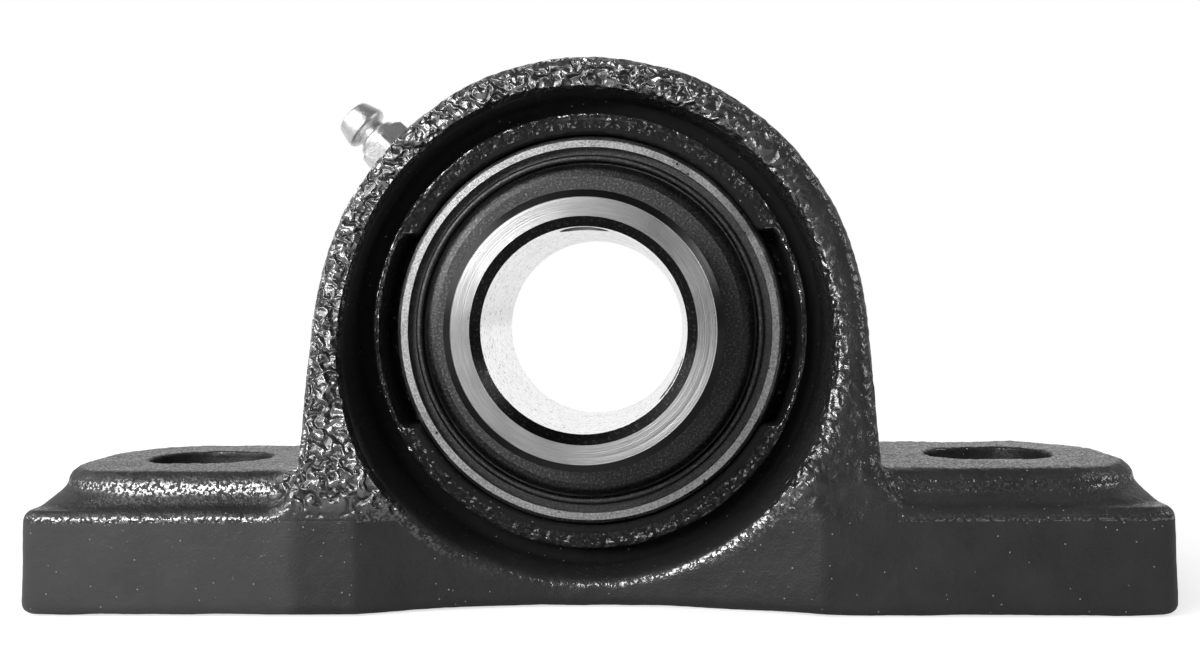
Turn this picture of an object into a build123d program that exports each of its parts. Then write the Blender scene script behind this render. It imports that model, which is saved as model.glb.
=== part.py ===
from build123d import *
import os
from math import acos, atan2, cos, radians, sin, sqrt

# Cast-iron pillow block with a relubricatable ball bearing insert for a 25 mm shaft.
# Frame: origin at the centre of the spherical seat, on the shaft's axis; X along the base,
# Y along the shaft with the long end of the inner ring at -Y, Z up. Sizes in millimetres.

# ---- Shaft and inner ring
shaft_diameter = 25.0
inner_ring_wall = 4.5  # radial, from the bore
inner_ring_width = 34.1
long_side_width = 19.8  # ball centres to the face that carries the set screws
bore_chamfer = 1.2
inner_ring_chamfer = 1.0

# ---- Outer ring, with its spherical outside
outer_ring_width = 15.0
track_wall = 2.481  # radial, from the ball track's bottom to the spherical outside
land_wall = 4.1  # radial, from the lands beside the ball track to the outside
seal_recess_wall = 2.3  # radial, from the seal's recess to the outside
seal_recess_depth = 2.1  # from each face to the lands
outer_ring_chamfer = 0.3
lube_hole_diameter = 1.6
lube_hole_offset = 4.3  # beside the ball track, towards +Y
lube_hole_angles = (138.0, 318.0)

# ---- Balls and cage
ball_diameter = 7.938
ball_count = 9
pitch_offset = 2.52  # radial, from the inner ring's outside to the ball centres
track_conformity = 0.52  # groove radius over ball diameter
track_clearance = 0.03
cage_width_radial = 2.6
cage_thickness = 0.6
pocket_clearance = 0.15
rivet_diameter = 1.2
rivet_head_diameter = 2.2
rivet_head_height = 0.4
rivet_hole_clearance = 0.05

# ---- Seals and slingers, one set at each side
seal_shell_thickness = 0.6
seal_bore_gap = 1.4  # radial, from the inner ring to the carrier's bore
seal_rim_inset = 0.9  # radial, from the recess's wall to the raised rim
seal_rim_width = 1.0
seal_rim_height = 1.0
seal_lip_clearance = 0.05
seal_lip_lean = 0.25
slinger_inset = 1.3  # radial, from the seal's raised rim to the slinger's edge
slinger_thickness = 0.5
slinger_gap = 0.6  # axial, from the seal's face
slinger_height = 1.2  # from its collar's inner end to the outside of its disc
slinger_roll = 1.0  # radius of the rolled edge
slinger_collar_height = 0.4  # over the disc

# ---- Set screws that lock the inner ring to the shaft
set_screw_diameter = 6.0
set_screw_length = 4.0
set_screw_from_face = 5.0
set_screw_angles = (90.0, 330.0)
set_screw_retraction = 0.3  # tip short of the bore's wall
set_screw_point = 0.8  # chamfer at the tip
set_screw_key = 3.0  # hexagon socket across flats
set_screw_key_depth = 1.8
thread_clearance = 0.05

# ---- Housing: base and feet
base_length = 140.0
base_width = 38.0
foot_edge_height = 12.8
foot_corner_radius = 3.0
foot_edge_round = 1.4
foot_bottom_round = 1.2
ledge_inset = 1.5  # foot's front edge to the start of the slope that rises to the pad
ledge_end_inset = 1.0  # the same at the foot's end
ledge_drop = 0.3  # start of the slope under the foot's edge height
pad_width = 32.0
pad_end_inset = 0.8  # foot's end to the pad's round end
pad_end_radius = 12.0
slope_top_height = 14.5
pad_height = 17.1
pad_edge_round = 2.2
bolt_spacing = 105.0
slot_width = 13.0
slot_length = 16.0
waist_half_length = 28.0
waist_depth = 4.9

# ---- Housing: dome and cheeks
dome_thickness = 22.0
cheek_spread = 0.4  # how much wider than the dome the cheeks are at the pads' height
flare_top = 9.0  # height over the shaft's axis where the cheeks start to thicken
flare_foot = -17.5  # height where they reach nearly the base's width
flare_margin = 0.5  # still missing from the base's half width there
flare_end = -25.5  # height where they meet the base's face
flare_top_blend = 24.0
flare_foot_blend = 8.0
dome_edge_round = 2.2
cheek_root_round = 4.8

# ---- Housing: recess round the insert, spherical seat and loading notch
boss_wall = 2.3  # radial, round the outer ring
recess_gap = 2.2  # radial, round the boss
rim_wall = 4.9  # radial, round the recess
floor_wall = 3.6  # under the recess, down to the base's underside
recess_floor = 4.4  # half thickness of the web that carries the seat
boss_half_width = 8.4
boss_edge_round = 0.8
recess_edge_round = 0.8
seat_clearance = 0.04  # radial, between the outer ring and its seat
mouth_inset = 0.65  # radial, how far the seat's mouth closes over the outer ring
notch_height = 25.0
notch_gap = 1.3  # radial, round the outer ring
grease_groove_offset = 3.2
grease_groove_width = 4.0
grease_groove_depth = 1.0

# ---- Grease fitting
fitting_angle = 138.0  # from +X towards +Z
spot_face_depth = 0.5
spot_face_diameter = 10.0
fitting_thread_diameter = 6.0
fitting_thread_length = 5.0
grease_hole_diameter = 3.0
fitting_hexagon = 7.0  # across flats
fitting_hexagon_turn = 12.0
fitting_hexagon_height = 4.6
fitting_hexagon_bevel = 0.5
fitting_neck_diameter = 4.2
fitting_neck_length = 1.6
fitting_head_diameter = 6.3
fitting_head_flare = 0.8
fitting_head_length = 3.4
fitting_tip_diameter = 4.4
valve_ball_diameter = 2.0
valve_mouth_diameter = 1.5
valve_mouth_depth = 0.5
valve_chamber_diameter = 2.6
valve_chamber_depth = 8.4
valve_outlet_diameter = 1.4
valve_clearance = 0.05
spring_wire_diameter = 0.25
spring_turns = 4.0


# Values that follow from the sizes above
shaft_radius = shaft_diameter / 2
inner_ring_radius = shaft_radius + inner_ring_wall
pitch_radius = inner_ring_radius + pitch_offset
ball_radius = ball_diameter / 2
track_radius = track_conformity * ball_diameter
inner_track_bottom = pitch_radius - ball_radius - track_clearance
outer_track_bottom = pitch_radius + ball_radius + track_clearance
outer_ring_radius = outer_track_bottom + track_wall
shoulder_radius = outer_ring_radius - land_wall
seal_recess_radius = outer_ring_radius - seal_recess_wall
seal_bore_radius = inner_ring_radius + seal_bore_gap
seal_rim_radius = seal_recess_radius - seal_rim_inset
slinger_radius = seal_rim_radius - slinger_inset
ball_angles = [90 + 360 / ball_count * i for i in range(ball_count)]
land_end = outer_ring_width / 2 - seal_recess_depth
seal_face = land_end + seal_shell_thickness
boss_radius = outer_ring_radius + boss_wall
recess_radius = boss_radius + recess_gap
dome_radius = recess_radius + rim_wall
cheek_half_width = dome_radius + cheek_spread
fitting_seat = dome_radius - spot_face_depth  # shaft's axis to the spot face
shaft_height = recess_radius + floor_wall
underside = -shaft_height
dome_bottom = underside + foot_edge_height / 2  # dome's solid ends inside the base


def closed_face(*lines):
    """Face inside lines and arcs that meet end to end."""
    return make_face(Wire([edge for line in lines for edge in line.edges()]))


def spin(*lines):
    """Ring from a closed section, drawn with X as radius and Y along the shaft."""
    return revolve(closed_face(*lines), Axis.Y)


def spin_points(*points):
    return spin(Polyline(*points, close=True))


def along_shaft(radius, low, high):
    """Cylinder about the shaft's axis from Y low to Y high."""
    return Location((0, (low + high) / 2, 0), (90, 0, 0)) * Cylinder(radius, high - low)


def radial(angle, axial=0.0):
    """Frame on the shaft's axis whose Z points outwards at an angle from +X towards +Z."""
    out = (cos(radians(angle)), 0, sin(radians(angle)))
    return Plane(origin=(0, axial, 0), x_dir=(0, 1, 0), z_dir=out)


def upright(radius, low, high):
    """Cylinder along a frame's own Z from low to high."""
    return Pos(0, 0, (low + high) / 2) * Cylinder(radius, high - low)


# ---- Insert


def make_outer_ring():
    half_width = outer_ring_width / 2
    corner = sqrt(outer_ring_radius**2 - half_width**2)
    cut_axial = half_width - outer_ring_chamfer
    cut_radius = sqrt(outer_ring_radius**2 - cut_axial**2)
    section = [
        ThreePointArc((cut_radius, -cut_axial), (outer_ring_radius, 0), (cut_radius, cut_axial)),
        Polyline(
            (cut_radius, cut_axial),
            (corner - outer_ring_chamfer, half_width),
            (seal_recess_radius, half_width),
            (seal_recess_radius, land_end),
            (shoulder_radius, land_end),
            (shoulder_radius, -land_end),
            (seal_recess_radius, -land_end),
            (seal_recess_radius, -half_width),
            (corner - outer_ring_chamfer, -half_width),
            (cut_radius, -cut_axial),
        ),
    ]
    ring = spin(*section)
    ring -= Rot(90, 0, 0) * Torus(outer_track_bottom - track_radius, track_radius)
    for angle in lube_hole_angles:
        drill = upright(lube_hole_diameter / 2, shoulder_radius - 1, outer_ring_radius + 1)
        ring -= radial(angle, lube_hole_offset).location * drill
    return ring


def make_inner_ring():
    short_end = inner_ring_width - long_side_width
    outside = inner_ring_radius
    ring = spin_points(
        (shaft_radius, -long_side_width + bore_chamfer),
        (shaft_radius + bore_chamfer, -long_side_width),
        (outside - inner_ring_chamfer, -long_side_width),
        (outside, -long_side_width + inner_ring_chamfer),
        (outside, short_end - inner_ring_chamfer),
        (outside - inner_ring_chamfer, short_end),
        (shaft_radius + bore_chamfer, short_end),
        (shaft_radius, short_end - bore_chamfer),
    )
    ring -= Rot(90, 0, 0) * Torus(inner_track_bottom + track_radius, track_radius)
    for angle in set_screw_angles:
        drill = upright(set_screw_diameter / 2 + thread_clearance, shaft_radius / 2, outside + 1)
        ring -= radial(angle, set_screw_from_face - long_side_width).location * drill
    return ring


def make_set_screw(angle):
    tip = shaft_radius + set_screw_retraction
    end = tip + set_screw_length
    screw = upright(set_screw_diameter / 2, tip, end)
    screw = chamfer(screw.edges().group_by(Axis.Z)[0], set_screw_point)
    socket_radius = set_screw_key / sqrt(3)
    socket = extrude(RegularPolygon(socket_radius, 6), set_screw_key_depth)
    screw -= Pos(0, 0, end - set_screw_key_depth) * socket
    return radial(angle, set_screw_from_face - long_side_width).location * screw


def ball_place(angle):
    """Place on the pitch circle, turned so that a sphere's poles lie along the shaft."""
    place = Pos(pitch_radius * cos(radians(angle)), 0, pitch_radius * sin(radians(angle)))
    return place * Rot(90, 0, 0)


def cage_band(low, high):
    inside = pitch_radius - cage_width_radial / 2
    outside = pitch_radius + cage_width_radial / 2
    return along_shaft(outside, low, high) - along_shaft(inside, low, high)


def rivet_places():
    half_step = 180 / ball_count
    return [ball_place(angle + half_step) for angle in ball_angles]


def make_cage_half():
    """Pressed ribbon at +Y with a pocket over each ball."""
    pocket_radius = ball_radius + pocket_clearance
    outer_radius = pocket_radius + cage_thickness
    half = cage_band(0, cage_thickness)
    depth_band = cage_band(0, outer_radius + 1)
    for angle in ball_angles:
        half += ball_place(angle) * Sphere(outer_radius) & depth_band
    for angle in ball_angles:
        half -= ball_place(angle) * Sphere(pocket_radius)
    hole = upright(rivet_diameter / 2 + rivet_hole_clearance, -cage_thickness, cage_thickness)
    for place in rivet_places():
        half -= place * hole
    return half


def make_cage_rivets():
    head_end = cage_thickness + rivet_head_height
    head = rivet_head_diameter / 2
    rivet = upright(rivet_diameter / 2, -head_end, head_end)
    rivet += upright(head, cage_thickness, head_end) + upright(head, -head_end, -cage_thickness)
    return Compound([place * rivet for place in rivet_places()])


def make_seal_shell():
    """Steel carrier pressed into the outer ring's recess at +Y."""
    recess = seal_recess_radius
    rim_outside = seal_rim_radius
    rim_inside = rim_outside - seal_rim_width
    bore = seal_bore_radius
    rim_top = seal_face + seal_rim_height
    rim_round = seal_rim_width / 2
    return spin(
        Polyline(
            (bore, seal_face),
            (bore, land_end),
            (recess, land_end),
            (recess, seal_face),
            (rim_outside, seal_face),
            (rim_outside, rim_top - rim_round),
        ),
        ThreePointArc(
            (rim_outside, rim_top - rim_round),
            (rim_outside - rim_round, rim_top),
            (rim_inside, rim_top - rim_round),
        ),
        Polyline((rim_inside, rim_top - rim_round), (rim_inside, seal_face), (bore, seal_face)),
    )


def make_seal_lip():
    """Rubber lip bonded to the carrier's bore, running on the inner ring."""
    bore = seal_bore_radius
    contact = inner_ring_radius + seal_lip_clearance
    return spin_points(
        (bore, land_end),
        (bore, seal_face),
        (contact, seal_face + seal_lip_lean),
        (contact, seal_face),
        ((bore + contact) / 2, land_end),
    )


def make_slinger():
    """Pressed disc with a rolled edge that turns with the inner ring over the seal at +Y."""
    seat = inner_ring_radius
    edge = slinger_radius
    collar = seat + slinger_thickness
    inside = seal_face + slinger_gap
    disc = inside + slinger_height
    disc_inside = disc - slinger_thickness
    collar_top = disc + slinger_collar_height
    roll_centre = (edge - slinger_roll, disc - slinger_roll)
    roll_inside = slinger_roll - slinger_thickness
    diagonal = sqrt(0.5)
    return spin(
        Polyline(
            (roll_centre[0], disc),
            (collar, disc),
            (collar, collar_top),
            (seat, collar_top),
            (seat, inside),
            (collar, inside),
            (collar, disc_inside),
            (roll_centre[0], disc_inside),
        ),
        ThreePointArc(
            (roll_centre[0], disc_inside),
            (roll_centre[0] + roll_inside * diagonal, roll_centre[1] + roll_inside * diagonal),
            (edge - slinger_thickness, roll_centre[1]),
        ),
        Polyline(
            (edge - slinger_thickness, roll_centre[1]),
            (edge - slinger_thickness, inside),
            (edge, inside),
            (edge, roll_centre[1]),
        ),
        ThreePointArc(
            (edge, roll_centre[1]),
            (roll_centre[0] + slinger_roll * diagonal, roll_centre[1] + slinger_roll * diagonal),
            (roll_centre[0], disc),
        ),
    )


# ---- Housing


def make_base():
    """Foot plate from end to end with its waist, and with its edges rounded."""
    outline = RectangleRounded(base_length, base_width, foot_corner_radius)
    plate = Pos(0, 0, underside) * extrude(outline, foot_edge_height)
    plate = fillet(plate.faces().sort_by(Axis.Z)[-1].edges(), foot_edge_round)
    plate -= waist_cutter()
    return fillet(plate.faces().sort_by(Axis.Z)[0].edges(), foot_bottom_round)


def foot_outline(end_inset, width, corner, height):
    """Outline of one foot at +X and at a height over the underside, that ends under the dome."""
    length = base_length / 2 - end_inset
    return Pos(length / 2, 0, underside + height) * RectangleRounded(length, width, corner)


def make_foot_rise():
    """Slope from the foot's edge up to the pad, and the pad with its round end, at +X."""
    low_width = base_width - 2 * ledge_inset
    slope_start = foot_edge_height - ledge_drop
    low = foot_outline(ledge_end_inset, low_width, foot_corner_radius, slope_start)
    high = foot_outline(pad_end_inset, pad_width, pad_end_radius, slope_top_height)
    slope = loft([low, high], ruled=True)
    pad = foot_outline(pad_end_inset, pad_width, pad_end_radius, slope_start)
    pad = extrude(pad, pad_height - slope_start)
    pad = fillet(pad.faces().sort_by(Axis.Z)[-1].edges(), pad_edge_round)
    return slope + pad


def dome_outline():
    """Front view of dome and cheeks: an arc, its tangents and a round at their roots."""
    pad_level = underside + pad_height
    spread = sqrt(cheek_half_width**2 + pad_level**2)
    # the flank touches the dome where the radius is square to it
    touch = atan2(pad_level, cheek_half_width) + acos(dome_radius / spread)
    touch_x = dome_radius * cos(touch)
    touch_z = dome_radius * sin(touch)
    slope = (cheek_half_width - touch_x) / (touch_z - pad_level)
    foot_level = underside + foot_edge_height
    root_x = touch_x + slope * (touch_z - foot_level)
    end_x = root_x + 2 * cheek_root_round
    half = [(touch_x, touch_z), (root_x, foot_level), (end_x, foot_level), (end_x, dome_bottom)]
    other = [(-x, z) for x, z in reversed(half)]
    arc = ThreePointArc(half[0], (0, dome_radius), other[-1])
    face = closed_face(arc, Polyline(*half, *other))
    roots = [corner for corner in face.vertices() if abs(abs(corner.X) - root_x) < 0.01]
    return fillet(roots, cheek_root_round)


def side_outline():
    """Side view: as thick as the dome above, flaring to the base's width below."""
    thin = dome_thickness / 2
    wide = base_width / 2
    top = dome_radius + 1
    half = [(thin, top), (thin, flare_top), (wide - flare_margin, flare_foot)]
    half += [(wide, flare_end), (wide, dome_bottom)]
    other = [(-y, z) for y, z in reversed(half)]
    face = closed_face(Polyline(*half, *other, close=True))
    bends = face.vertices().filter_by_position(Axis.Y, flare_top - 1, flare_top + 1)
    face = fillet(bends, flare_top_blend)
    bends = face.vertices().filter_by_position(Axis.Y, flare_foot - 1, flare_foot + 1)
    return fillet(bends, flare_foot_blend)


def on_flat_side(edge):
    """Whether an edge lies inside the front or back, or at the bottom of the dome's solid."""
    middle = edge @ 0.5
    across = edge.bounding_box().size.X
    level = edge.bounding_box().size.Z < 0.01
    return middle.Z < dome_bottom + 0.01 or (level and across > dome_radius)


def make_dome():
    across = Plane.XZ * dome_outline()
    along = Plane.YZ * side_outline()
    body = extrude(across, base_width, both=True) & extrude(along, base_length, both=True)
    faces = body.faces().filter_by(lambda face: abs(face.normal_at().Y) > 0.5)
    rims = [edge for edge in faces.edges() if not on_flat_side(edge)]
    return fillet(rims, dome_edge_round)


def waist_cutter():
    """Upright cylinders that scoop the base in at the middle, in front and behind."""
    radius = (waist_half_length**2 + waist_depth**2) / (2 * waist_depth)
    centre = base_width / 2 - waist_depth + radius
    cutter = upright(radius, underside - 1, dome_radius)
    return Pos(0, centre, 0) * cutter + Pos(0, -centre, 0) * cutter


def bolt_slot():
    slot = extrude(SlotOverall(slot_length, slot_width), pad_height + 2)
    return Pos(bolt_spacing / 2, 0, underside - 1) * slot


def make_recess(side):
    """Space in front of (-1) or behind (1) the web, with the seat's boss left standing in it."""
    outer_end = side * base_width
    recess = along_shaft(recess_radius, *sorted((side * recess_floor, outer_end)))
    boss = along_shaft(boss_radius, *sorted((0, side * boss_half_width)))
    far_edge = boss.edges().sort_by(Axis.Y)[0 if side < 0 else -1]
    return recess - fillet(far_edge, boss_edge_round)


def on_recess_rim(edge):
    """Whether an edge lies where a recess meets the housing's front or back."""
    places = [edge @ 0, edge @ 0.5, edge @ 1]
    outside = all(abs(place.Y) > boss_half_width for place in places)
    on_wall = [abs(sqrt(place.X**2 + place.Z**2) - recess_radius) < 0.01 for place in places]
    return outside and all(on_wall)


def make_seat():
    """Everything cut for the insert: sphere, mouths, grease groove and loading notch."""
    seat_radius = outer_ring_radius + seat_clearance
    mouth = along_shaft(outer_ring_radius - mouth_inset, -base_width, base_width)
    groove = along_shaft(
        seat_radius + grease_groove_depth,
        grease_groove_offset - grease_groove_width / 2,
        grease_groove_offset + grease_groove_width / 2,
    )
    notch = along_shaft(outer_ring_radius + notch_gap, -base_width, 0)
    notch &= Box(2 * recess_radius, 2 * base_width, notch_height)
    sphere = Rot(90, 0, 0) * Sphere(seat_radius)
    return sphere + mouth + groove + notch


def fitting_hole():
    thread = upright(
        fitting_thread_diameter / 2 + thread_clearance,
        fitting_seat - fitting_thread_length - 1,
        fitting_seat + 1,
    )
    passage = upright(grease_hole_diameter / 2, outer_ring_radius - 1, fitting_seat)
    spot = upright(spot_face_diameter / 2, fitting_seat, dome_radius + 1)
    return radial(fitting_angle).location * (thread + passage + spot)


def make_housing():
    rise = make_foot_rise()
    upper = make_dome() + rise + mirror(rise, Plane.YZ)
    body = make_base() + (upper - waist_cutter())
    body -= bolt_slot()
    body -= mirror(bolt_slot(), Plane.YZ)
    body -= make_recess(-1)
    body -= make_recess(1)
    body = fillet([edge for edge in body.edges() if on_recess_rim(edge)], recess_edge_round)
    body -= make_seat()
    body -= fitting_hole()
    return body


# ---- Grease fitting, drawn along Z and then turned to its place


def fitting_levels():
    """Heights over the shaft's axis: hexagon's top, neck's top, head's widest place and tip."""
    hexagon_top = fitting_seat + fitting_hexagon_height
    neck_top = hexagon_top + fitting_neck_length
    head_wide = neck_top + fitting_head_flare
    tip = neck_top + fitting_head_length
    return hexagon_top, neck_top, head_wide, tip


def valve_ball_height():
    """The ball rests under the mouth's 45 degree seat."""
    tip = fitting_levels()[-1]
    seat_line = tip - valve_mouth_depth + valve_mouth_diameter / 2
    return seat_line - sqrt(2) * (valve_ball_diameter / 2 + valve_clearance)


def make_fitting_body():
    hexagon_top, neck_top, head_wide, tip = fitting_levels()
    thread_end = fitting_seat - fitting_thread_length
    hexagon = extrude(RegularPolygon(fitting_hexagon / sqrt(3), 6), fitting_hexagon_height)
    hexagon = Pos(0, 0, fitting_seat) * Rot(0, 0, fitting_hexagon_turn) * hexagon
    bevel = upright(fitting_hexagon / sqrt(3), fitting_seat, hexagon_top)
    bevel = chamfer(bevel.edges().group_by(Axis.Z)[-1], fitting_hexagon_bevel)
    neck = fitting_neck_diameter / 2
    turned = Polyline(
        (0, thread_end),
        (fitting_thread_diameter / 2, thread_end),
        (fitting_thread_diameter / 2, fitting_seat),
        (neck, fitting_seat),
        (neck, neck_top),
        (fitting_head_diameter / 2, head_wide),
        (fitting_tip_diameter / 2, tip),
        (0, tip),
        close=True,
    )
    mouth = valve_mouth_diameter / 2
    chamber = valve_chamber_diameter / 2
    outlet = valve_outlet_diameter / 2
    seat_top = tip - valve_mouth_depth
    hollow = Polyline(
        (0, thread_end),
        (outlet, thread_end),
        (outlet, tip - valve_chamber_depth),
        (chamber, tip - valve_chamber_depth),
        (chamber, seat_top - (chamber - mouth)),
        (mouth, seat_top),
        (mouth, tip),
        (0, tip),
        close=True,
    )
    body = revolve(Plane.XZ * closed_face(turned), Axis.Z) + (hexagon & bevel)
    body -= revolve(Plane.XZ * closed_face(hollow), Axis.Z)
    return radial(fitting_angle).location * body


def make_valve_ball():
    place = radial(fitting_angle).location * Pos(0, 0, valve_ball_height())
    return place * Sphere(valve_ball_diameter / 2)


def make_valve_spring():
    """Coil between the chamber's floor and the ball."""
    wire = spring_wire_diameter / 2
    coil = valve_chamber_diameter / 2 - wire - 2 * valve_clearance
    low = fitting_levels()[-1] - valve_chamber_depth + wire + valve_clearance
    ball_reach = sqrt((valve_ball_diameter / 2 + wire) ** 2 - coil**2)
    high = valve_ball_height() - ball_reach - valve_clearance
    path = Helix(pitch=(high - low) / spring_turns, height=high - low, radius=coil)
    section = Plane(origin=path @ 0, z_dir=path % 0) * Circle(wire)
    return radial(fitting_angle).location * Pos(0, 0, low) * sweep(section, path)


nodes = {
    "housing": make_housing(),
    "outer_ring": make_outer_ring(),
    "inner_ring": make_inner_ring(),
    "cage_front_half": mirror(make_cage_half(), Plane.XZ),
    "cage_rear_half": make_cage_half(),
    "cage_rivets": make_cage_rivets(),
    "front_seal_shell": mirror(make_seal_shell(), Plane.XZ),
    "rear_seal_shell": make_seal_shell(),
    "front_seal_lip": mirror(make_seal_lip(), Plane.XZ),
    "rear_seal_lip": make_seal_lip(),
    "front_slinger": mirror(make_slinger(), Plane.XZ),
    "rear_slinger": make_slinger(),
    "grease_fitting_body": make_fitting_body(),
    "grease_fitting_ball": make_valve_ball(),
    "grease_fitting_spring": make_valve_spring(),
}
for number, angle in enumerate(ball_angles, 1):
    nodes[f"ball_{number}"] = ball_place(angle) * Sphere(ball_radius)
for number, angle in enumerate(set_screw_angles, 1):
    nodes[f"set_screw_{number}"] = make_set_screw(angle)

os.makedirs("parts", exist_ok=True)
for name, shape in nodes.items():
    export_step(shape, f"parts/{name}.step")
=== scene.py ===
import math
import bmesh
import bpy
from mathutils import Matrix, Vector, noise


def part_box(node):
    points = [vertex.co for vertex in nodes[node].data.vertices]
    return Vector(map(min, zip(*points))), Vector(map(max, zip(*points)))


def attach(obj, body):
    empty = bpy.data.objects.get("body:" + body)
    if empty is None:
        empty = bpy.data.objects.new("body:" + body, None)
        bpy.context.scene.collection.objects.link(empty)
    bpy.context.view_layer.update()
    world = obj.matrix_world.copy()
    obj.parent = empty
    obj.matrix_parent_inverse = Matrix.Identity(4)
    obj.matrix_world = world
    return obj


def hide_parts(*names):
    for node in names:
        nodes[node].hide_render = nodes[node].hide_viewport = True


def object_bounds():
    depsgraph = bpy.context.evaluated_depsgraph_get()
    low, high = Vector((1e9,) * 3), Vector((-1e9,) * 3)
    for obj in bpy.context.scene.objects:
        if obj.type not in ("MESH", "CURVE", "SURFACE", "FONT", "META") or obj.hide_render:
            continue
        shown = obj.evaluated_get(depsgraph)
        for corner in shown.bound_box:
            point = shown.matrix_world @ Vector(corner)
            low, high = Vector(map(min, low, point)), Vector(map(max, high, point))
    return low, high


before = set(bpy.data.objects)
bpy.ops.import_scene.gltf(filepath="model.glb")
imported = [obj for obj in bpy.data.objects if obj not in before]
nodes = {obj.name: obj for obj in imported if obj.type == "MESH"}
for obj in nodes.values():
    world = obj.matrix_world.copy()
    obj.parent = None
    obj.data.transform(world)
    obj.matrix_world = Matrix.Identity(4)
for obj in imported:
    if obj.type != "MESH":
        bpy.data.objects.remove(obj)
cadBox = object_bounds()
print("frame loaded:", len(nodes), "nodes")

mm = 0.001
sceneRoot = bpy.context.scene


def addObject(name, data):
    added = bpy.data.objects.new(name, data)
    sceneRoot.collection.objects.link(added)
    return added


# small helpers for node trees

def newMaterial(name):
    material = bpy.data.materials.new(name)
    material.use_nodes = True
    tree = material.node_tree
    shader = tree.nodes["Principled BSDF"]
    return material, tree, shader


def link(tree, source, target):
    tree.links.new(source, target)


def fill(tree, socket, value):
    # a number or a colour is set, another socket is linked
    if isinstance(value, (int, float, tuple)):
        socket.default_value = value
    else:
        link(tree, value, socket)


def addNode(tree, kind, **settings):
    node = tree.nodes.new(kind)
    for key, value in settings.items():
        if key in node.inputs:
            fill(tree, node.inputs[key], value)
        else:
            setattr(node, key, value)
    return node


def addNoise(tree, vector, dimensions="3D", **settings):
    return addNode(tree, "ShaderNodeTexNoise", noise_dimensions=dimensions, Vector=vector, **settings)


def mathNode(tree, operation, *values):
    node = tree.nodes.new("ShaderNodeMath")
    node.operation = operation
    for socket, value in zip(node.inputs, values):
        fill(tree, socket, value)
    return node.outputs[0]


def product(tree, first, *others):
    for value in others:
        first = mathNode(tree, "MULTIPLY", first, value)
    return first


def largest(tree, first, *others):
    for value in others:
        first = mathNode(tree, "MAXIMUM", first, value)
    return first


def under(tree, value, limit):
    return mathNode(tree, "LESS_THAN", value, limit)


def over(tree, value, limit):
    return mathNode(tree, "GREATER_THAN", value, limit)


def mixColours(tree, factor, first, second):
    node = tree.nodes.new("ShaderNodeMix")
    node.data_type = "RGBA"
    for index, value in ((0, factor), (6, first), (7, second)):
        fill(tree, node.inputs[index], value)
    return node.outputs[2]


def mapRange(tree, value, low, high, newLow=0.0, newHigh=1.0):
    node = tree.nodes.new("ShaderNodeMapRange")
    ends = {"Value": value, "From Min": low, "From Max": high, "To Min": newLow, "To Max": newHigh}
    for label, end in ends.items():
        fill(tree, node.inputs[label], end)
    return node.outputs["Result"]


def grey(level):
    return (level, level, level, 1.0)


def objectPlace(tree):
    return tree.nodes.new("ShaderNodeTexCoord").outputs["Object"]


def splitVector(tree, vector):
    parts = tree.nodes.new("ShaderNodeSeparateXYZ")
    link(tree, vector, parts.inputs[0])
    return parts.outputs


def shaftPlace(tree, place):
    # radius from the shaft's axis, then the three coordinates, in metres
    x, y, z = splitVector(tree, place)
    squares = mathNode(tree, "MULTIPLY_ADD", z, z, product(tree, x, x))
    return mathNode(tree, "SQRT", squares), x, y, z


def addBump(tree, shader, height, distance):
    bump = addNode(tree, "ShaderNodeBump", Height=height, Distance=distance)
    link(tree, bump.outputs["Normal"], shader.inputs["Normal"])
    return bump


# shader node groups shared by the finishes

def newGroup(name, inputs, outputs):
    # a group takes a vector first, and puts out plain numbers
    group = bpy.data.node_groups.new(name, "ShaderNodeTree")
    group.interface.new_socket(name="Vector", in_out="INPUT", socket_type="NodeSocketVector")
    for label, value in inputs.items():
        socket = group.interface.new_socket(name=label, in_out="INPUT", socket_type="NodeSocketFloat")
        socket.default_value = value
    for label in outputs:
        group.interface.new_socket(name=label, in_out="OUTPUT", socket_type="NodeSocketFloat")
    return group, group.nodes.new("NodeGroupInput").outputs, group.nodes.new("NodeGroupOutput").inputs


def makeCastGroup():
    # skin of a sand casting under thick paint: worm-like grain, finer grit and wide patches
    group, start, end = newGroup("castSkin", {"Grain Scale": 1000.0, "Grit Scale": 2600.0},
                                 ("Grain", "Grit", "Patches"))
    place = start["Vector"]
    textures = {
        "Grain": addNoise(group, place, Scale=start["Grain Scale"], Detail=0.0, Roughness=0.4,
                          Distortion=0.7),
        "Grit": addNoise(group, place, Scale=start["Grit Scale"], Detail=2.0, Roughness=0.6),
        "Patches": addNoise(group, place, Scale=160.0, Detail=3.0),
    }
    for label, texture in textures.items():
        link(group, texture.outputs["Fac"], end[label])
    return group


def makeSpeckGroup():
    # small separate specks: dust, pits or dark chips
    group, start, end = newGroup("specks", {"Scale": 900.0, "Size": 0.2, "Share": 0.3}, ("Mask",))
    cells = addNode(group, "ShaderNodeTexVoronoi", feature="F1", Vector=start["Vector"],
                    Scale=start["Scale"])
    pick = group.nodes.new("ShaderNodeSeparateColor")
    link(group, cells.outputs["Color"], pick.inputs[0])
    near = under(group, cells.outputs["Distance"], start["Size"])
    chosen = under(group, pick.outputs[0], start["Share"])
    link(group, product(group, near, chosen), end["Mask"])
    return group


def makeGrainGroup():
    # mottled metal: a fine grain, and wide clouds for its gloss
    group, start, end = newGroup("groundGrain", {"Scale": 900.0}, ("Fac", "Clouds"))
    grain = addNoise(group, start["Vector"], Scale=start["Scale"], Detail=4.0, Roughness=0.7)
    clouds = addNoise(group, start["Vector"], Scale=220.0, Detail=3.0)
    link(group, grain.outputs["Fac"], end["Fac"])
    link(group, clouds.outputs["Fac"], end["Clouds"])
    return group


castSkin = makeCastGroup()
specks = makeSpeckGroup()
groundGrain = makeGrainGroup()


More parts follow.
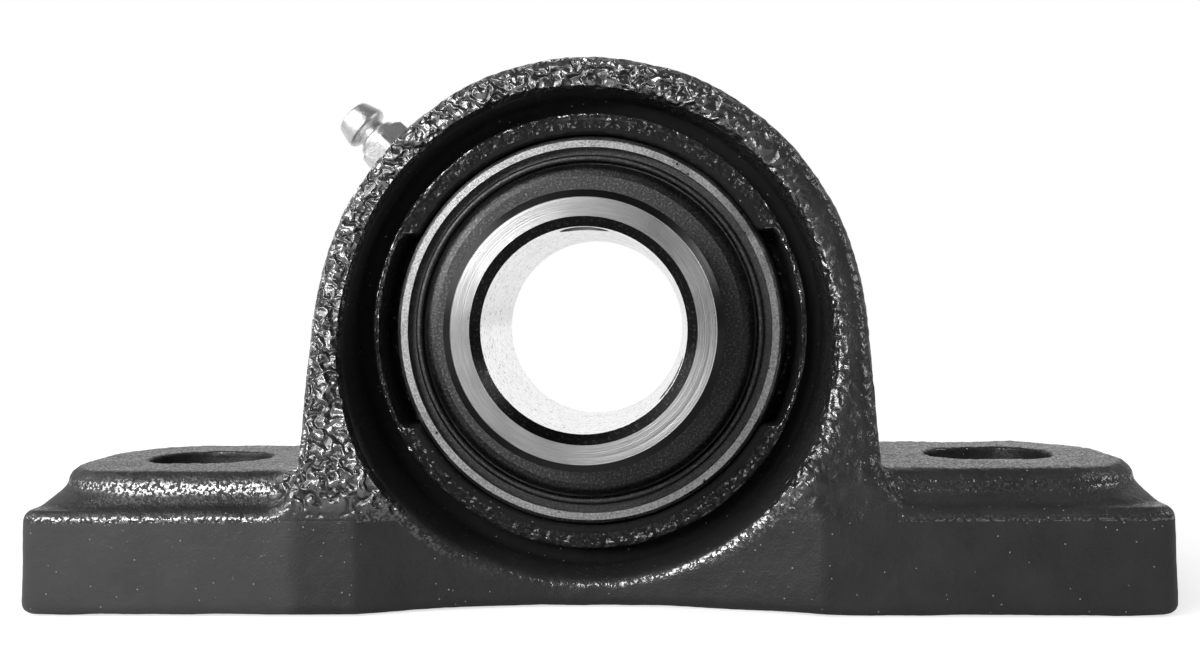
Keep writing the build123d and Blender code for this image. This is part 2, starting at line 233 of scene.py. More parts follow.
def placeGroup(tree, group, coordinates, **values):
    node = tree.nodes.new("ShaderNodeGroup")
    node.node_tree = group
    link(tree, coordinates, node.inputs["Vector"])
    for label, value in values.items():
        node.inputs[label.replace("_", " ")].default_value = value
    return node


cloudEdges = (0.3, 0.7)


def cloudRange(tree, clouds, low, high):
    # a value that wanders between two levels in soft clouds
    return mapRange(tree, clouds, *cloudEdges, low, high)


# the colours and the gloss, then how much grain, grit and coat each place of the casting gets,
# then where those places are; a facing pair says how squarely a surface looks along the shaft or up;
# the grain is coarse on the dome's rim and cheeks, finer on the tops and nearly gone elsewhere
paint = {
    "colour": 0.013, "patchColour": 0.02, "patchLow": 0.35, "patchHigh": 0.7,
    # the recess's darker colour is painted shade, standing in for the shade that falls in the recess
    "recessShadeColour": 0.007, "dustColour": 0.22, "dustSize": 1.1 * mm, "dustSpot": 0.085, "dustShare": 0.6,
    "specular": 0.36, "smoothest": 0.13, "roughest": 0.23, "dullRoughness": 0.3,
    "recessRoughness": 0.4, "coatIor": 3.0, "coatRoughness": 0.12,
    "grainSize": 1.22 * mm, "gritSize": 0.3 * mm, "bumpHeight": 1.85 * mm,
    "smoothShare": 0.03, "topShare": 0.14, "slopeShare": 0.06, "bossShare": 0.22, "coneShare": 0.3,
    "rightShare": 0.08, "edgeShare": 0.7, "rightEdge": 0.35,
    "smoothGrit": 0.03, "topGrit": 0.11, "slopeGrit": 0.05, "rimGrit": 0.03,
    "glossSize": 0.4 * mm, "glossLow": 0.47, "glossHigh": 0.54, "lumpLow": 0.4, "lumpHigh": 0.52,
    "footCoat": 0.235, "waistCoat": 0.045, "rightCoat": 0.05, "edgeCoat": 0.8, "slopeCoat": 0.12,
    "topCoat": 0.75, "topCoatLow": 0.25, "bossCoat": 1.0, "bossSheen": 0.12, "rimGloss": 0.25,
    "rightGloss": 0.2,
    "calmStart": 9.0 * mm, "calmEnd": 29.0 * mm, "waistEdge": 36.5 * mm,
    "rimInside": 30.9 * mm, "rightRimInside": 30.2 * mm, "rimBlend": 2.0 * mm / 3,
    "cheekEnd": 37.0 * mm, "cheekFoot": -20.8 * mm, "footEdge": -22.9 * mm, "blend": 2.0 * mm,
    "bossInside": 26.2 * mm, "bossOutside": 28.6 * mm, "bossFront": 7.2 * mm,
    "coneInside": 26.9 * mm, "coneOutside": 28.2 * mm, "coneBlend": 0.4 * mm,
    "recessOutside": 30.4 * mm, "recessBlend": 0.8 * mm, "edgeOutside": 32.6 * mm,
    "slotHalf": 6.8 * mm, "slotStart": 43.5 * mm, "slotEnd": 61.5 * mm, "slotTop": -17.4 * mm,
    "edgeFacing": (0.97, 0.9), "aslantFacing": (0.985, 0.93), "slopeFacing": (0.1, 0.35),
    "topFacing": (0.93, 0.99), "steepFacing": (0.4, 0.52),
}


def castMarks(tree, place, look):
    # masks of the casting's places, 0 to 1; "rough" is the coarse skin of the dome's rim and cheeks
    radius, x, y, z = shaftPlace(tree, place)
    facing = splitVector(tree, tree.nodes.new("ShaderNodeNewGeometry").outputs["Normal"])
    across, forward = mathNode(tree, "ABSOLUTE", x), mathNode(tree, "ABSOLUTE", y)
    square = mathNode(tree, "ABSOLUTE", facing[1])
    blend, start, end = look["blend"], look["calmStart"], look["calmEnd"]
    marks = {"x": x, "radius": radius}
    marks["top"] = mapRange(tree, facing[2], *look["topFacing"])
    marks["slope"] = mapRange(tree, facing[2], *look["slopeFacing"])
    marks["steep"] = mapRange(tree, facing[2], *look["steepFacing"], 1.0, look["slopeCoat"])
    marks["recess"] = mapRange(tree, radius, look["recessOutside"] + look["recessBlend"],
                               look["recessOutside"])
    marks["boss"] = product(tree, under(tree, radius, look["bossOutside"]),
                            over(tree, radius, look["bossInside"]))

    rimInside = mapRange(tree, x, -start, start, look["rimInside"], look["rightRimInside"])
    marks["rim"] = mapRange(tree, mathNode(tree, "SUBTRACT", radius, rimInside), 0.0, look["rimBlend"])
    inCheeks = mapRange(tree, across, look["cheekEnd"] + blend, look["cheekEnd"])
    aboveFoot = mapRange(tree, z, look["cheekFoot"] - blend, look["cheekFoot"] + blend)
    nearRecess = under(tree, radius, look["edgeOutside"])
    onEdge = mapRange(tree, square, *look["edgeFacing"], 0.0, look["edgeShare"])
    quiet = mapRange(tree, x, start, end, 1.0, look["rightEdge"])
    onEdge = product(tree, onEdge, largest(tree, nearRecess, quiet))
    calm = mapRange(tree, x, start, end, 1.0, look["rightShare"])
    marks["rough"] = product(tree, marks["rim"], inCheeks, aboveFoot, largest(tree, calm, onEdge))

    # places whose coat breaks up into small shiny spots
    aslant = mapRange(tree, square, *look["aslantFacing"])
    overFoot = over(tree, z, look["footEdge"])
    onFoot = product(tree, over(tree, across, look["cheekEnd"]), overFoot)
    overFoot = product(tree, overFoot, mapRange(tree, x, start, end, 1.0, look["rightGloss"]))
    spotted = product(tree, aslant, largest(tree, nearRecess, overFoot))
    marks["spotted"] = largest(tree, spotted, onFoot)
    bossEdge = product(tree, marks["boss"], aslant, over(tree, forward, look["bossFront"]))
    marks["cone"] = product(tree, bossEdge, under(tree, radius, look["coneOutside"]))
    marks["slot"] = product(tree, under(tree, forward, look["slotHalf"]),
                            over(tree, across, look["slotStart"]), under(tree, across, look["slotEnd"]),
                            under(tree, z, look["slotTop"]))
    return marks


def paintHeight(tree, marks, skin, look):
    slopeShare = mapRange(tree, marks["top"], 0.0, 1.0, look["slopeShare"], look["topShare"])
    bossShare = mapRange(tree, marks["radius"], look["coneInside"], look["coneInside"] + look["coneBlend"],
                         look["bossShare"], look["coneShare"])
    grainShare = largest(tree, marks["rough"], product(tree, marks["slope"], slopeShare),
                         look["smoothShare"], product(tree, marks["boss"], bossShare))
    gritShare = largest(tree, product(tree, marks["slope"], look["slopeGrit"]),
                        product(tree, marks["rough"], look["rimGrit"]),
                        product(tree, marks["top"], look["topGrit"]), look["smoothGrit"])
    grain = product(tree, skin.outputs["Grain"], grainShare)
    return mathNode(tree, "MULTIPLY_ADD", skin.outputs["Grit"], gritShare, grain)


def paintCoat(tree, marks, skin, glossy, look):
    waist, blend = look["waistEdge"], look["blend"]
    flatCoat = mapRange(tree, marks["x"], -waist, -waist + blend, look["footCoat"], look["waistCoat"])
    flatCoat = mathNode(tree, "MINIMUM", flatCoat,
                        mapRange(tree, marks["x"], look["calmEnd"], waist, 1.0, look["rightCoat"]))
    edgeCoat = product(tree, glossy, marks["steep"], look["edgeCoat"])
    topCoat = mapRange(tree, glossy, 0.0, 1.0, look["topCoatLow"], look["topCoat"])
    coat = mapRange(tree, marks["spotted"], 0.0, 1.0, flatCoat, edgeCoat)
    coat = mapRange(tree, marks["top"], 0.0, 1.0, coat, topCoat)
    lumps = mapRange(tree, skin.outputs["Grain"], look["lumpLow"], look["lumpHigh"], look["rimGloss"], 1.0)
    coat = largest(tree, coat, product(tree, marks["rough"], lumps))
    coat = product(tree, coat, marks["rim"])
    bossCoat = largest(tree, product(tree, marks["cone"], look["bossCoat"]),
                       product(tree, marks["boss"], look["bossSheen"], glossy))
    return product(tree, largest(tree, coat, bossCoat), mathNode(tree, "SUBTRACT", 1.0, marks["slot"]))


def makePaint(name, look):
    material, tree, shader = newMaterial(name)
    place = objectPlace(tree)
    marks = castMarks(tree, place, look)
    skin = placeGroup(tree, castSkin, place, Grain_Scale=1 / look["grainSize"],
                      Grit_Scale=1 / look["gritSize"])
    dust = placeGroup(tree, specks, place, Scale=1 / look["dustSize"], Size=look["dustSpot"],
                      Share=look["dustShare"])
    patches = mapRange(tree, skin.outputs["Patches"], look["patchLow"], look["patchHigh"])
    colour = mixColours(tree, patches, grey(look["colour"]), grey(look["patchColour"]))
    # painted shade: everything inside the recess gets the darker recess colour in place of the shade that
    # falls there
    colour = mixColours(tree, marks["recess"], colour, grey(look["recessShadeColour"]))
    colour = mixColours(tree, dust.outputs["Mask"], colour, grey(look["dustColour"]))
    link(tree, colour, shader.inputs["Base Color"])
    dullness = cloudRange(tree, skin.outputs["Patches"], look["smoothest"], look["roughest"])
    dullness = mathNode(tree, "MULTIPLY_ADD", marks["recess"], look["recessRoughness"], dullness)
    link(tree, mathNode(tree, "ADD", dullness, look["dullRoughness"]), shader.inputs["Roughness"])
    spots = addNoise(tree, place, Scale=1 / look["glossSize"], Detail=1.0)
    glossy = mapRange(tree, spots.outputs["Fac"], look["glossLow"], look["glossHigh"])
    link(tree, paintCoat(tree, marks, skin, glossy, look), shader.inputs["Coat Weight"])
    shader.inputs["Specular IOR Level"].default_value = look["specular"]
    shader.inputs["Coat IOR"].default_value = look["coatIor"]
    shader.inputs["Coat Roughness"].default_value = look["coatRoughness"]
    bump = addBump(tree, shader, paintHeight(tree, marks, skin, look), look["bumpHeight"])
    link(tree, bump.outputs["Normal"], shader.inputs["Coat Normal"])
    return material


# mottled ground steel with dark chips
outerSteel = {
    "colour": 0.62, "dark": 0.14, "mottleLow": 0.32, "mottleHigh": 0.66, "roughness": 0.36,
    "roughnessSpread": 0.08, "grain": 0.26 * mm, "bump": 0.01 * mm,
    "chipScale": 700.0, "chipSize": 0.14, "chipShare": 0.3, "chipColour": 0.03,
}


def makeGroundSteel(name, look):
    material, tree, shader = newMaterial(name)
    place = objectPlace(tree)
    grain = placeGroup(tree, groundGrain, place, Scale=1 / look["grain"])
    chips = placeGroup(tree, specks, place, Scale=look["chipScale"], Size=look["chipSize"],
                       Share=look["chipShare"])
    mottle = mapRange(tree, grain.outputs["Fac"], look["mottleLow"], look["mottleHigh"])
    colour = mixColours(tree, mottle, grey(look["dark"]), grey(look["colour"]))
    colour = mixColours(tree, chips.outputs["Mask"], colour, grey(look["chipColour"]))
    link(tree, colour, shader.inputs["Base Color"])
    shader.inputs["Metallic"].default_value = 1.0
    rough, spread = look["roughness"], look["roughnessSpread"]
    link(tree, cloudRange(tree, grain.outputs["Clouds"], rough - spread, rough + spread),
         shader.inputs["Roughness"])
    addBump(tree, shader, grain.outputs["Fac"], look["bump"])
    return material


# turned end faces, a darker chamfer, a ground bore with small pits and streaks, and a dark outside
innerSteel = {
    "face": 0.5, "faceDark": 0.38, "faceLow": 0.3, "faceHigh": 0.7,
    "bore": 0.95, "boreDark": 0.7, "boreLow": 0.35, "boreHigh": 0.6,
    "chamfer": 0.022, "chamferGrain": 0.12, "chamferLow": 0.55, "chamferHigh": 0.7, "outside": 0.05,
    "pit": 0.03, "pitScale": 1700.0, "pitSize": 0.2, "pitShare": 0.3, "grainScale": 2600.0,
    "scratches": 4.0, "scratchScale": 5200.0,  # round the ring, and across its face per metre
    "streakTurns": 14.0, "streakScale": 1300.0, "streakLow": 0.6, "streakHigh": 0.68,
    "smoothest": 0.26, "roughest": 0.38, "boreSmoother": 0.14,
    "grooveWidth": 0.12 * mm, "grooveBump": 0.028 * mm,
    "boreRadius": 12.52 * mm, "faceInside": 13.68 * mm, "faceOutside": 16.04 * mm,
    "frontChamfer": -18.5 * mm, "rearChamfer": 13.0 * mm, "boreEnd": 13.3 * mm,
}


def turnedNoise(tree, turn, turnScale, length, lengthScale, detail):
    # grain drawn out round the axis: turn is an angle, length a distance in metres
    polar = tree.nodes.new("ShaderNodeCombineXYZ")
    link(tree, product(tree, turn, turnScale), polar.inputs[0])
    link(tree, product(tree, length, lengthScale), polar.inputs[1])
    texture = addNoise(tree, polar.outputs[0], "2D", Scale=1.0, Detail=detail, Roughness=0.7)
    return texture.outputs["Fac"]


def makeInnerSteel(name, look):
    material, tree, shader = newMaterial(name)
    place = objectPlace(tree)
    radius, x, y, z = shaftPlace(tree, place)
    turn = mathNode(tree, "ARCTAN2", z, x)
    grain = placeGroup(tree, groundGrain, place, Scale=look["grainScale"])
    pits = placeGroup(tree, specks, place, Scale=look["pitScale"], Size=look["pitSize"],
                      Share=look["pitShare"])
    scratches = turnedNoise(tree, turn, look["scratches"], radius, look["scratchScale"],
                            detail=4.0)
    mottle = mapRange(tree, scratches, look["faceLow"], look["faceHigh"])
    face = mixColours(tree, mottle, grey(look["faceDark"]), grey(look["face"]))
    mottle = mapRange(tree, grain.outputs["Fac"], look["boreLow"], look["boreHigh"])
    bore = mixColours(tree, mottle, grey(look["boreDark"]), grey(look["bore"]))
    bore = mixColours(tree, pits.outputs["Mask"], bore, grey(look["pit"]))
    streaks = turnedNoise(tree, turn, look["streakTurns"], y, look["streakScale"], detail=3.0)
    streaks = mapRange(tree, streaks, look["streakLow"], look["streakHigh"])
    bore = mixColours(tree, streaks, bore, grey(look["pit"]))
    mottle = mapRange(tree, grain.outputs["Fac"], look["chamferLow"], look["chamferHigh"])
    chamfer = mixColours(tree, mottle, grey(look["chamfer"]), grey(look["chamferGrain"]))

    nearEnd = largest(tree, under(tree, y, look["frontChamfer"]), over(tree, y, look["rearChamfer"]))
    onChamfer = product(tree, under(tree, radius, look["faceInside"]), nearEnd)
    inBore = product(tree, under(tree, radius, look["boreRadius"]), under(tree, y, look["boreEnd"]))
    colour = mixColours(tree, onChamfer, face, chamfer)
    colour = mixColours(tree, inBore, colour, bore)
    colour = mixColours(tree, over(tree, radius, look["faceOutside"]), colour, grey(look["outside"]))
    link(tree, colour, shader.inputs["Base Color"])
    shader.inputs["Metallic"].default_value = 1.0
    dull = cloudRange(tree, grain.outputs["Clouds"], look["smoothest"], look["roughest"])
    dull = mathNode(tree, "SUBTRACT", dull, product(tree, inBore, look["boreSmoother"]))
    link(tree, dull, shader.inputs["Roughness"])
    grooves = addNode(tree, "ShaderNodeTexNoise", noise_dimensions="1D", Scale=1.0, Detail=1.0,
                      W=mathNode(tree, "DIVIDE", radius, look["grooveWidth"]))
    addBump(tree, shader, grooves.outputs["Fac"], look["grooveBump"])
    return material


# a colour with another in its grain; the slinger's bump also slopes its shoulder
plainFinishes = {
    "slingerFinish": {"colour": 0.055, "dust": 0.26, "roughness": 0.4, "grain": 0.3 * mm,
                      "bump": 0.06 * mm, "metallic": 1.0, "shoulderStart": 19.9 * mm,
                      "shoulderEnd": 21.6 * mm, "shoulderDrop": 0.66 * mm},
    "sealRimFinish": {"colour": 0.06, "dust": 0.22, "roughness": 0.42, "grain": 0.3 * mm,
                      "bump": 0.05 * mm, "metallic": 1.0},
    "lipRubber": {"colour": 0.02, "dust": 0.04, "roughness": 0.6, "grain": 0.5 * mm,
                  "bump": 0.01 * mm, "metallic": 0.0},
    "cageSteel": {"colour": 0.35, "dust": 0.5, "roughness": 0.35, "grain": 0.5 * mm,
                  "bump": 0.004 * mm, "metallic": 1.0},
    "ballSteel": {"colour": 0.6, "dust": 0.66, "roughness": 0.08, "grain": 1.2 * mm,
                  "bump": 0.0005 * mm, "metallic": 1.0},
    "zincPlate": {"colour": 0.74, "dust": 0.4, "roughness": 0.3, "grain": 0.4 * mm,
                  "bump": 0.06 * mm, "metallic": 0.9},
    "screwSteel": {"colour": 0.3, "dust": 0.4, "roughness": 0.4, "grain": 0.5 * mm,
                   "bump": 0.006 * mm, "metallic": 1.0},
}
plainSpread = {"dustLow": 0.5, "dustHigh": 0.8, "smoother": 0.8, "rougher": 1.2}


def makePlainFinish(name, look):
    material, tree, shader = newMaterial(name)
    place = objectPlace(tree)
    grain = placeGroup(tree, groundGrain, place, Scale=1 / look["grain"])
    dust = mapRange(tree, grain.outputs["Fac"], plainSpread["dustLow"], plainSpread["dustHigh"])
    colour = mixColours(tree, dust, grey(look["colour"]), grey(look["dust"]))
    link(tree, colour, shader.inputs["Base Color"])
    shader.inputs["Metallic"].default_value = look["metallic"]
    low, high = (look["roughness"] * plainSpread[key] for key in ("smoother", "rougher"))
    link(tree, cloudRange(tree, grain.outputs["Clouds"], low, high), shader.inputs["Roughness"])
    height, distance = grain.outputs["Fac"], look["bump"]
    if "shoulderDrop" in look:
        distance = look["shoulderDrop"]
        radius = shaftPlace(tree, place)[0]
        shoulder = mapRange(tree, radius, look["shoulderStart"], look["shoulderEnd"], 1.0, 0.0)
        height = mathNode(tree, "MULTIPLY_ADD", height, look["bump"] / distance, shoulder)
    addBump(tree, shader, height, distance)
    return material


finishes = {
    "castPaint": makePaint("castPaint", paint),
    "outerSteel": makeGroundSteel("outerSteel", outerSteel),
    "innerSteel": makeInnerSteel("innerSteel", innerSteel),
}
for name, look in plainFinishes.items():
    finishes[name] = makePlainFinish(name, look)

# the nodes not named here are the balls
nodeFinish = {
    "outer_ring": "outerSteel", "inner_ring": "innerSteel",
    "front_slinger": "slingerFinish", "rear_slinger": "slingerFinish",
    "front_seal_shell": "sealRimFinish", "rear_seal_shell": "sealRimFinish",
    "front_seal_lip": "lipRubber", "rear_seal_lip": "lipRubber",
    "cage_front_half": "cageSteel", "cage_rear_half": "cageSteel", "cage_rivets": "cageSteel",
    "grease_fitting_body": "zincPlate", "grease_fitting_ball": "ballSteel",
    "grease_fitting_spring": "screwSteel",
    "set_screw_1": "screwSteel", "set_screw_2": "screwSteel", "housing": "castPaint",
}
for name, node in nodes.items():
    node.data.materials.clear()
    node.data.materials.append(finishes[nodeFinish.get(name, "ballSteel")])
print("finishes made:", len(finishes))


# the CAD solid with the soft, lumpy skin that sand and thick paint leave
castShape = {
    "voxel": 0.42 * mm, "quickFactor": 1.6, "smoothing": 3, "seatRadius": 26.1 * mm,
    "rimSmoothing": 40, "rimStart": 29.6 * mm, "rimEnd": 32.8 * mm, "rimDepth": 8.6 * mm,
    "grainSize": 0.95 * mm, "grainHeight": 0.1 * mm, "waveSize": 6.0 * mm, "waveHeight": 0.14 * mm,
    "padLow": -18.3 * mm, "padShare": 0.9, "smoothShare": 0.25, "rimInside": 31.5 * mm,
    "cheekEnd": 38.0 * mm, "cheekFoot": -21.0 * mm, "coneOutside": 28.1 * mm,
    "coneWidth": 0.9 * mm, "coneDepth": 0.4 * mm, "coneStart": 5.2 * mm, "coneEnd": 7.7 * mm,
}


def castLump(place, look):
    # how far a point moves along its normal, mostly inwards
    onRim = math.hypot(place.x, place.z) > look["rimInside"]
    rough = onRim and abs(place.x) < look["cheekEnd"] and place.z > look["cheekFoot"]
    onPad = abs(place.x) > look["cheekEnd"] and place.z > look["padLow"]
    share = 1.0 if rough else look["padShare"] if onPad else look["smoothShare"]
    grain = noise.noise(place / look["grainSize"]) * look["grainHeight"] * share
    wave = noise.noise(place / look["waveSize"]) * look["waveHeight"]
    return grain + wave - look["grainHeight"] * share - look["waveHeight"] / 2


def bossCone(place, look):
    # the boss's face falls away towards the bearing
    inward = (look["coneOutside"] - math.hypot(place.x, place.z)) / look["coneWidth"]
    forward = (abs(place.y) - look["coneStart"]) / (look["coneEnd"] - look["coneStart"])
    fall = look["coneDepth"] * min(max(inward, 0.0), 1.0) * min(max(forward, 0.0), 1.0)
    return Vector((place.x, place.y - math.copysign(fall, place.y), place.z))


def applyModifiers(body):
    bpy.context.view_layer.update()
    evaluated = body.evaluated_get(bpy.context.evaluated_depsgraph_get())
    shaped = bpy.data.meshes.new_from_object(evaluated)
    body.modifiers.clear()
    body.vertex_groups.clear()
    body.data = shaped
    return shaped


def makeCastHousing(look):
    body = addObject("cast_housing", nodes["housing"].data.copy())
    remesh = body.modifiers.new("remesh", "REMESH")
    remesh.mode = "VOXEL"
    remesh.voxel_size = look["voxel"] * 1.0
    smooth = body.modifiers.new("smooth", "SMOOTH")
    smooth.iterations = look["smoothing"]
    shaped = applyModifiers(body)
    # the recess's edges are softer than the drawn ones
    rim = body.vertex_groups.new(name="rim")
    for vertex in shaped.vertices:
        radius = math.hypot(vertex.co.x, vertex.co.z)
        if look["rimStart"] < radius < look["rimEnd"] and abs(vertex.co.y) > look["rimDepth"]:
            rim.add([vertex.index], 1.0, "REPLACE")
    soften = body.modifiers.new("soften", "SMOOTH")
    soften.vertex_group = "rim"
    soften.iterations = look["rimSmoothing"]
    shaped = applyModifiers(body)
    low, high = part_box("housing")
    places = [vertex.co + vertex.normal * castLump(vertex.co, look) for vertex in shaped.vertices]
    for vertex, place in zip(shaped.vertices, places):
        place = bossCone(place, look)
        if place.length < look["seatRadius"]:
            place = place.normalized() * look["seatRadius"]
        vertex.co = [min(max(place[axis], low[axis]), high[axis]) for axis in range(3)]
    shaped.polygons.foreach_set("use_smooth", [True] * len(shaped.polygons))
    shaped.materials.clear()
    shaped.materials.append(finishes["castPaint"])
    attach(body, "housing")
    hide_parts("housing")
    return body


castHousing = makeCastHousing(castShape)
print("cast housing:", len(castHousing.data.polygons), "faces")

# angles in degrees; radii and heights over the shaft's axis in millimetres, outside first,
# from the thread's end to the tip, then down the mouth
nipple = {
    "angle": 138.0, "hexTurn": 12.0, "flats": 7.0, "segments": 96, "sharpAngle": 30.0,
    "thread": [(3.0, 29.9), (3.0, 34.9)],
    "hexagon": [(3.75, 34.9), (4.05, 35.15), (4.05, 38.3), (3.55, 38.8)],
    "collar": [(2.9, 38.9), (2.9, 39.5), (2.75, 39.75), (2.3, 39.9), (2.1, 40.15), (2.1, 40.75)],
    "head": [(2.4, 41.0), (2.95, 41.2), (3.15, 41.5), (3.15, 41.9), (2.9, 42.8)],
    "crownRadius": 0.75, "crownHeight": 43.6, "crownSpread": 1.88, "crownSteps": 7,
    "crownTurn": 75.0, "crownFlatness": 0.98,
    "mouth": [(1.1, 44.5), (0.8, 44.42), (0.75, 44.0), (1.3, 43.45), (1.3, 36.1), (0.7, 36.1),
              (0.7, 29.9)],
}


def nippleProfile(look):
    # rings as radius, height and whether the hexagon limits them
    rings = [(r, h, False) for r, h in look["thread"]]
    rings += [(r, h, True) for r, h in look["hexagon"]]
    rings += [(r, h, False) for r, h in look["collar"] + look["head"]]
    for step in range(1, look["crownSteps"] + 1):
        turn = math.radians(look["crownTurn"]) * step / look["crownSteps"]
        rise = look["crownRadius"] * math.sin(turn) * look["crownFlatness"]
        rings.append((look["crownSpread"] + look["crownRadius"] * math.cos(turn),
                      look["crownHeight"] + rise, False))
    return rings + [(r, h, False) for r, h in look["mouth"]]


def makeNipple(look):
    rings = nippleProfile(look)
    lean = math.radians(look["angle"])
    outward = Vector((math.cos(lean), 0.0, math.sin(lean)))
    along = Vector((0.0, 1.0, 0.0))
    across = outward.cross(along)
    count = look["segments"]
    points = []
    for radius, height, limited in rings:
        for step in range(count):
            turn = math.tau * step / count
            reach = radius
            if limited:
                corner = (turn - math.radians(look["hexTurn"])) % (math.pi / 3) - math.pi / 6
                reach = min(radius, look["flats"] / 2 / math.cos(corner))
            side = along * math.cos(turn) + across * math.sin(turn)
            points.append((outward * height + side * reach) * mm)
    faces = []
    for ring in range(len(rings)):
        after = (ring + 1) % len(rings)
        for step in range(count):
            beside = (step + 1) % count
            faces.append((ring * count + step, ring * count + beside,
                          after * count + beside, after * count + step))
    mesh = bpy.data.meshes.new("grease_nipple")
    mesh.from_pydata(points, [], faces)
    mesh.update()
    shell = bmesh.new()
    shell.from_mesh(mesh)
    bmesh.ops.recalc_face_normals(shell, faces=shell.faces)
    shell.to_mesh(mesh)
    shell.free()
    mesh.polygons.foreach_set("use_smooth", [True] * len(mesh.polygons))
    mesh.set_sharp_from_angle(angle=math.radians(look["sharpAngle"]))
    mesh.materials.append(finishes["zincPlate"])
    body = addObject("grease_nipple", mesh)
    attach(body, "housing")
    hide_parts("grease_fitting_body")
    return body


greaseNipple = makeNipple(nipple)
print("grease nipple:", len(greaseNipple.data.polygons), "faces")

# seen directly, the floor glows white far off and less round the part, where its shadow shows;
# mirrored in the part, it is dark in front of it and pale behind it
floorLook = {
    "size": 3.0, "colour": 0.6, "shownColour": 0.5, "glow": 0.87, "nearGlow": 0.64,
    "nearRadius": 120 * mm, "farRadius": 400 * mm, "mirroredGlow": 0.05, "farGlow": 0.6,
    "nearEdge": 50 * mm, "farEdge": 200 * mm,
}


def makeFloorFinish(look):
    material, tree, shader = newMaterial("paleFloor")
    tree.nodes.remove(shader)
    rays = tree.nodes.new("ShaderNodeLightPath").outputs
    seen = largest(tree, rays["Is Camera Ray"], rays["Is Glossy Ray"], rays["Is Transmission Ray"])
    plain = addNode(tree, "ShaderNodeBsdfDiffuse", Color=grey(look["colour"]))
    faint = addNode(tree, "ShaderNodeBsdfDiffuse", Color=grey(look["shownColour"]))
    glow = addNode(tree, "ShaderNodeEmission", Color=grey(1.0))
    x, y = splitVector(tree, objectPlace(tree))[:2]
    away = mathNode(tree, "SQRT", mathNode(tree, "MULTIPLY_ADD", x, x, product(tree, y, y)))
    direct = mapRange(tree, away, look["nearRadius"], look["farRadius"], look["nearGlow"], look["glow"])
    mirrored = mapRange(tree, y, look["nearEdge"], look["farEdge"], look["mirroredGlow"],
                        look["farGlow"])
    link(tree, mapRange(tree, rays["Is Glossy Ray"], 0.0, 1.0, direct, mirrored),
         glow.inputs["Strength"])
    shown = tree.nodes.new("ShaderNodeAddShader")
    link(tree, faint.outputs[0], shown.inputs[0])
    link(tree, glow.outputs[0], shown.inputs[1])
    mix = tree.nodes.new("ShaderNodeMixShader")
    for socket, source in zip(mix.inputs, (seen, plain.outputs[0], shown.outputs[0])):
        link(tree, source, socket)
    link(tree, mix.outputs[0], tree.nodes["Material Output"].inputs[0])
    return material


def makeFloor(look):
    half, level = look["size"] / 2, cadBox[0][2]
    corners = [(-half, -half, level), (half, -half, level), (half, half, level), (-half, half, level)]
    mesh = bpy.data.meshes.new("floor")
    mesh.from_pydata(corners, [], [(0, 1, 2, 3)])
    mesh.materials.append(makeFloorFinish(look))
    addObject("floor", mesh)


# seen directly, the backdrop is white; mirrored, it is white behind the part and dark in front
worldLight = {"diffuse": 0.32, "dark": 0.08, "darkEdge": 0.3, "whiteEdge": 0.95}


def makeWorld(look):
    world = bpy.data.worlds.new("studio")
    sceneRoot.world = world
    world.use_nodes = True
    tree = world.node_tree
    background = tree.nodes["Background"]
    rays = tree.nodes.new("ShaderNodeLightPath").outputs
    direction = splitVector(tree, tree.nodes.new("ShaderNodeTexCoord").outputs["Generated"])
    mirrored = mapRange(tree, direction[1], look["darkEdge"], look["whiteEdge"], look["dark"], 1.0)
    seen = largest(tree, rays["Is Glossy Ray"], rays["Is Transmission Ray"])
    strength = largest(tree, product(tree, mirrored, seen), rays["Is Camera Ray"])
    unseen = mathNode(tree, "SUBTRACT", 1.0, largest(tree, seen, rays["Is Camera Ray"]))
    strength = mathNode(tree, "MULTIPLY_ADD", unseen, look["diffuse"], strength)
    background.inputs["Color"].default_value = grey(1.0)
    link(tree, strength, background.inputs["Strength"])


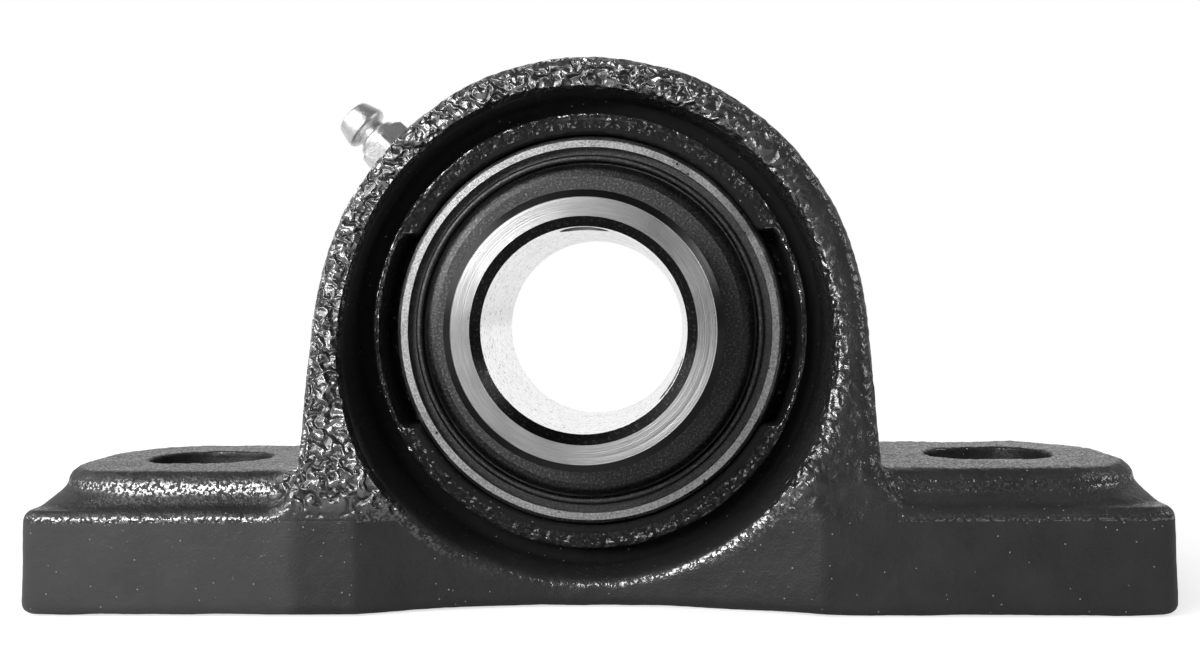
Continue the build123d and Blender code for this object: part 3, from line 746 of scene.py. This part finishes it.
# directions in degrees: azimuth from the front towards +X, elevation from the floor; sizes in metres
lamps = {
    "key": {"azimuth": -42, "elevation": 21, "distance": 0.6, "width": 0.66, "height": 0.25, "power": 2.8},
    "left": {"azimuth": -84, "elevation": 30, "distance": 0.6, "width": 0.4, "height": 0.4, "power": 1.2},
    "high": {"azimuth": -40, "elevation": 50, "distance": 0.6, "width": 0.2, "height": 0.2, "power": 0.6},
    "fill": {"azimuth": -24, "elevation": 16, "distance": 0.6, "width": 0.2, "height": 0.12, "power": 0.6},
    "side": {"azimuth": 84, "elevation": 30, "distance": 0.7, "width": 0.24, "height": 0.24, "power": 1.0},
}


def makeLamp(name, look):
    light = bpy.data.lights.new(name, "AREA")
    light.shape = "RECTANGLE"
    light.size = look["width"]
    light.size_y = look["height"]
    light.energy = look["power"]
    lamp = addObject(name, light)
    azimuth, elevation = math.radians(look["azimuth"]), math.radians(look["elevation"])
    outward = Vector((math.sin(azimuth) * math.cos(elevation), -math.cos(azimuth) * math.cos(elevation),
                      math.sin(elevation)))
    lamp.location = outward * look["distance"]
    lamp.rotation_euler = (-outward).to_track_quat("-Z", "Y").to_euler()


# the view: its turn in degrees, its shift in metres in its own axes, and the lens
viewPlace = {
    "yaw": -2.711, "pitch": -2.915, "roll": -0.632,
    "shift": (-1.104 * mm, 163.013 * mm, -10.559 * mm), "focalPixels": 1199.4,
    "imageWidth": 1200, "imageHeight": 650, "centreRow": 250, "sensorWidth": 36.0, "clipStart": 5 * mm,
}


def makeCamera(view):
    turn = (Matrix.Rotation(math.radians(view["roll"]), 3, "Y")
            @ Matrix.Rotation(math.radians(view["pitch"]), 3, "X")
            @ Matrix.Rotation(math.radians(view["yaw"]), 3, "Z"))
    data = bpy.data.cameras.new("view")
    camera = addObject("view", data)
    data.sensor_width = view["sensorWidth"]
    data.lens = data.sensor_width * view["focalPixels"] / view["imageWidth"]
    data.shift_y = (view["centreRow"] - view["imageHeight"] / 2) / view["imageWidth"]
    data.clip_start = view["clipStart"]
    right, forward, up = (Vector(row) for row in turn)
    axes = Matrix((right, up, -forward)).transposed()
    place = -(turn.transposed() @ Vector(view["shift"]))
    camera.matrix_world = Matrix.Translation(place) @ axes.to_4x4()
    sceneRoot.camera = camera


makeFloor(floorLook)
makeWorld(worldLight)
for lampName, lampLook in lamps.items():
    makeLamp(lampName, lampLook)
makeCamera(viewPlace)
sceneRoot.view_settings.view_transform = "Standard"
print("stage, light and camera set")
